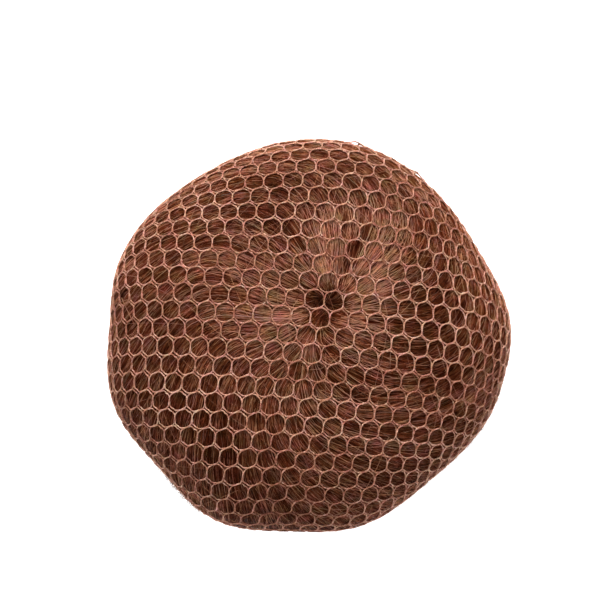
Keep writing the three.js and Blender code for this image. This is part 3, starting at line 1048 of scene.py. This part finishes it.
def addCore():
    # Rings from the hole outwards, down to the back's edge and in under it
    columns = core["columns"]
    bearing = np.arange(columns) * 2 * np.pi / columns
    centre = holePoint[:2]
    rim = bunPoint(polar(equatorLength, bearing))[:, :2]
    crown = np.sin(np.linspace(core["crownStart"], np.pi / 2, core["crownRings"]))
    rings = []
    for share in np.minimum([*core["holeRings"], *crown], core["crownEnd"]):
        plan = centre + (rim - centre) * share
        rings.append(flatPlace(plan[:, 0], plan[:, 1]))
    for length in np.linspace(equatorLength + 1, footLength, core["sideRings"]):
        rings.append(polar(length, bearing))
    for inward in core["backEdge"]:
        rings.append(polar(footLength + inward, bearing))
    flat = np.stack(rings)
    point, _, _, normal = bunFrame(flat)
    depth, _ = dip(point)
    nearRim = np.exp(-(((lengthOf(flat) - equatorLength) / core["rimWidth"]) ** 2))
    point = point - normal * (core["inset"] - core["rimShallow"] * nearRim)[..., None]
    point[..., 2] -= depth
    # The back is a little hollow, which leaves room for the elastic under it
    point[-2:, :, 2] = core["backHeight"] * np.array(core["backShare"])[:, None]
    count = len(rings)
    index = np.arange(count * columns).reshape(count, columns)
    after = np.roll(index, -1, axis=1)
    quads = np.stack([index[:-1], index[1:], after[1:], after[:-1]], axis=-1).reshape(-1, 4)
    corners = np.concatenate([point.reshape(-1, 3), [point[0].mean(0), [0, 0, point[-1, 0, 2]]]])
    top = np.stack([np.full(columns, count * columns), index[0], after[0]], axis=-1)
    base = np.stack([np.full(columns, count * columns + 1), after[-1], index[-1]], axis=-1)
    piece = addMesh("hair_core", corners, [quads, np.concatenate([top, base])], coreMaterial)
    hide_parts("hair_pad")
    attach(piece, "root")
    print("hair_core", len(piece.data.polygons), "faces")


# Short ends that poke out through the net: at the lower left, in tufts at the lower right, and
# a few anywhere. Each pair is a mean and a spread, or a least and a most
looseEnds = {
    "count": 520,
    "places": 5,
    "leftBearing": (231, 5),
    "rightBearing": (322, 17),
    "rightShare": 0.6,
    "anywhereShare": 0.15,
    "tuftEvery": 5.6,  # degrees
    "tuftSpread": 0.8,
    "tuftHeight": 0.8,  # of the hairs in the tufts, against the others
    "level": (-1, 2.5),  # past the widest outline
    "inset": 0.62,
    "rise": (0.4, 1.25),
    "lean": (0.5, 2.5),
    "leanPower": 1.4,
    "radius": 0.045,
    "tip": 0.5,
    "tone": (0.6, 0.15),
}


def addLooseEnds():
    count, places = looseEnds["count"], looseEnds["places"]
    bearing = draw.normal(*looseEnds["leftBearing"], count)
    atRight = draw.random(count) < looseEnds["rightShare"]
    every = looseEnds["tuftEvery"]
    tuft = np.round(draw.normal(*looseEnds["rightBearing"], count) / every) * every
    tuft = tuft + draw.normal(0, looseEnds["tuftSpread"], count)
    bearing = np.where(atRight, tuft, bearing)
    anywhere = draw.random(count) < looseEnds["anywhereShare"]
    bearing = np.radians(np.where(anywhere, draw.random(count) * 360, bearing))
    length = equatorLength + draw.normal(*looseEnds["level"], count)
    point, alongX, alongY, normal = bunFrame(polar(length, bearing))
    side = draw.normal(0, 1, (count, 1)) * alongX + draw.normal(0, 1, (count, 1)) * alongY
    side = unit(side)
    share = np.linspace(0, 1, places)[None, :, None]
    scale = np.where(atRight, looseEnds["tuftHeight"], 1)[:, None, None]
    rise = draw.uniform(*looseEnds["rise"], count)[:, None, None] * scale
    lean = draw.uniform(*looseEnds["lean"], count)[:, None, None] * scale
    out = point[:, None] + normal[:, None] * (rise * share - looseEnds["inset"])
    path = out + side[:, None] * lean * share ** looseEnds["leanPower"]
    radii = np.full((count, places), looseEnds["radius"])
    radii = radii * np.linspace(1, looseEnds["tip"], places)
    normals = np.broadcast_to(normal[:, None], path.shape)
    corners, faces, wraps = tubes(path, normals, radii, hair["sides"])
    piece = addMesh("loose_ends", corners, faces, hairMaterial, wraps)
    tone = draw.normal(*looseEnds["tone"], count)
    addValue(piece, "tone", np.repeat(tone, places * hair["sides"]))
    addWarmth(piece, count, places)
    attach(piece, "root")
    print("loose_ends", count, "hairs", len(piece.data.polygons), "faces")


addCore()
addLocks()
addStrays()
addLooseEnds()

# The elastic band: a twisted cord, with the net's edge wrapped round it

bandLook = {
    "dark": (0.03, 0.010, 0.006),
    "middle": (0.075, 0.030, 0.018),
    "light": (0.16, 0.075, 0.048),
    "fineScale": 2500.0,
    "broadScale": 300.0,
    "change": 0.6,
    "warmthScale": 300.0,
    "warmthChange": 0.5,
    "gloss": 0.3,
    "pitch": 2.4,
    # painted shade in the grooves of the cord's twist
    "plyGrooveShade": 0.5,
    "tone": 0.3,
}

band = {
    "radius": 19.4,
    "height": 1.9,
    "plies": 2,
    "plyRadius": 0.62,
    "plyOffset": 0.46,
    "plyTurns": 34,
    "plySides": 8,
    "steps": 720,
    "wraps": 150,
    "wrapRadius": 1.26,
    "wrapUneven": 0.04,
    "wrapSteps": 12,
    "wrapSides": 5,
    "toneSpread": 0.05,
}


def roundBand(turns, offset, phase, steps):
    # A helix of so many turns round the band's ring, closed on itself
    spin = np.arange(steps + 1) / steps * 2 * np.pi
    swing = spin * turns + phase
    out = np.stack([np.cos(spin), np.sin(spin), 0 * spin], axis=-1)
    normal = out * np.cos(swing)[:, None] + np.array([0, 0, 1.0]) * np.sin(swing)[:, None]
    return out * band["radius"] + [0, 0, band["height"]] + normal * offset[:, None], normal


def addCords(name, strands, radius, sides, look, material):
    lots = []
    for path, normal in strands:
        lots.append(tubes(path[None], normal[None], np.full((1, len(path)), radius), sides))
    corners, faces, wraps = joined(lots)
    piece = addMesh(name, corners, faces, material, wraps)
    addValue(piece, "tone", look["tone"] + draw.normal(0, band["toneSpread"], len(corners)))
    print(name, len(piece.data.polygons), "faces")
    return piece


def addBand():
    steps = band["steps"]
    offset = np.full(steps + 1, band["plyOffset"])
    phases = np.arange(band["plies"]) * 2 * np.pi / band["plies"]
    plies = [roundBand(band["plyTurns"], offset, phase, steps) for phase in phases]
    cover = fibreMaterial("bandCover", bandLook, bump=0.1)
    cord = addCords("elastic_cord", plies, band["plyRadius"], band["plySides"], bandLook, cover)
    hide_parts("elastic_band")
    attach(cord, "root")
    steps = band["wraps"] * band["wrapSteps"]
    offset = band["wrapRadius"] + draw.normal(0, band["wrapUneven"], steps + 1)
    wraps = [roundBand(band["wraps"], offset, 0.0, steps)]
    radius, sides = net["yarnRadius"], band["wrapSides"]
    edge = addCords("edge_wraps", wraps, radius, sides, netLook, yarnMaterial)
    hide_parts("hair_net")
    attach(edge, "root")


addBand()

# The floor, lights and camera, in metres and watts

studio = {
    "floor": 1.6,
    "floorLevel": -0.0002,
    "floorColour": (0.85, 0.84, 0.83, 1),
    "floorRoughness": 0.9,
    "floorGloss": 0.1,
    "floorGlow": 0.93,  # as the camera sees it
    "floorLight": 0.8,  # as it lights the net
    "cameraHeight": 1.5,
    "aim": (-0.71, 6.76),  # the middle of the picture, in millimetres
    "pixelsPerMillimetre": 4.235,
    "frame": 612,  # pixels
    "sensor": 36.0,  # millimetres
    "farthest": 20,
    "world": 0.38,
}

lights = [
    {"name": "keyLight", "place": (0.0, 0.70, 0.56), "size": 0.45, "power": 12.0},
    {"name": "fillLight", "place": (-0.45, -0.1, 0.9), "size": 0.7, "power": 3.0},
    {"name": "rightSideLight", "place": (0.78, -0.45, 0.04), "size": 0.5, "power": 3.0},
    {"name": "leftSideLight", "place": (-0.6, -0.65, 0.04), "size": 0.5, "power": 1.6},
]


def addFloor():
    half, level = studio["floor"] / 2, studio["floorLevel"]
    mesh = bpy.data.meshes.new("floor")
    corners = [(x * half, y * half, level) for x, y in ((-1, -1), (1, -1), (1, 1), (-1, 1))]
    mesh.from_pydata(corners, [], [(0, 1, 2, 3)])
    material, tree, shader = newMaterial("paleFloor")
    shader.inputs["Base Color"].default_value = studio["floorColour"]
    shader.inputs["Roughness"].default_value = studio["floorRoughness"]
    shader.inputs["Specular IOR Level"].default_value = studio["floorGloss"]
    # The lit studio floor is brighter to the camera than what it throws back at the net
    ray = tree.nodes.new("ShaderNodeLightPath")
    more = studio["floorGlow"] - studio["floorLight"]
    toCamera = ray.outputs["Is Camera Ray"]
    glow = addMath(tree, "MULTIPLY_ADD", toCamera, more, studio["floorLight"])
    shader.inputs["Emission Color"].default_value = (1, 1, 1, 1)
    tree.links.new(glow, shader.inputs["Emission Strength"])
    mesh.materials.append(material)
    floor = bpy.data.objects.new("floor", mesh)
    bpy.context.scene.collection.objects.link(floor)


def addLight(row):
    # A square soft light that faces the net
    light = bpy.data.lights.new(row["name"], "AREA")
    light.size = row["size"]
    light.energy = row["power"]
    piece = bpy.data.objects.new(row["name"], light)
    piece.location = row["place"]
    towards = -np.array(row["place"]) / np.linalg.norm(row["place"])
    spin = math.atan2(towards[1], towards[0]) - math.pi / 2
    piece.rotation_euler = (math.acos(-towards[2]), 0, spin)
    bpy.context.scene.collection.objects.link(piece)


def addWorld():
    world = bpy.data.worlds.new("softRoom")
    world.use_nodes = True
    background = world.node_tree.nodes["Background"]
    background.inputs["Color"].default_value = (1, 1, 1, 1)
    background.inputs["Strength"].default_value = studio["world"]
    bpy.context.scene.world = world
    bpy.context.scene.view_settings.view_transform = "Standard"


def addCamera():
    camera = bpy.data.cameras.new("camera")
    camera.sensor_width = studio["sensor"]
    depth = studio["cameraHeight"] * perMetre - bun["equatorHeight"]
    camera.lens = studio["pixelsPerMillimetre"] * depth / studio["frame"] * studio["sensor"]
    camera.clip_end = studio["farthest"]
    piece = bpy.data.objects.new("camera", camera)
    x, y = studio["aim"]
    piece.location = (x / perMetre, y / perMetre, studio["cameraHeight"])
    bpy.context.scene.collection.objects.link(piece)
    bpy.context.scene.camera = piece


addFloor()
for row in lights:
    addLight(row)
addWorld()
addCamera()
print("studio ready")
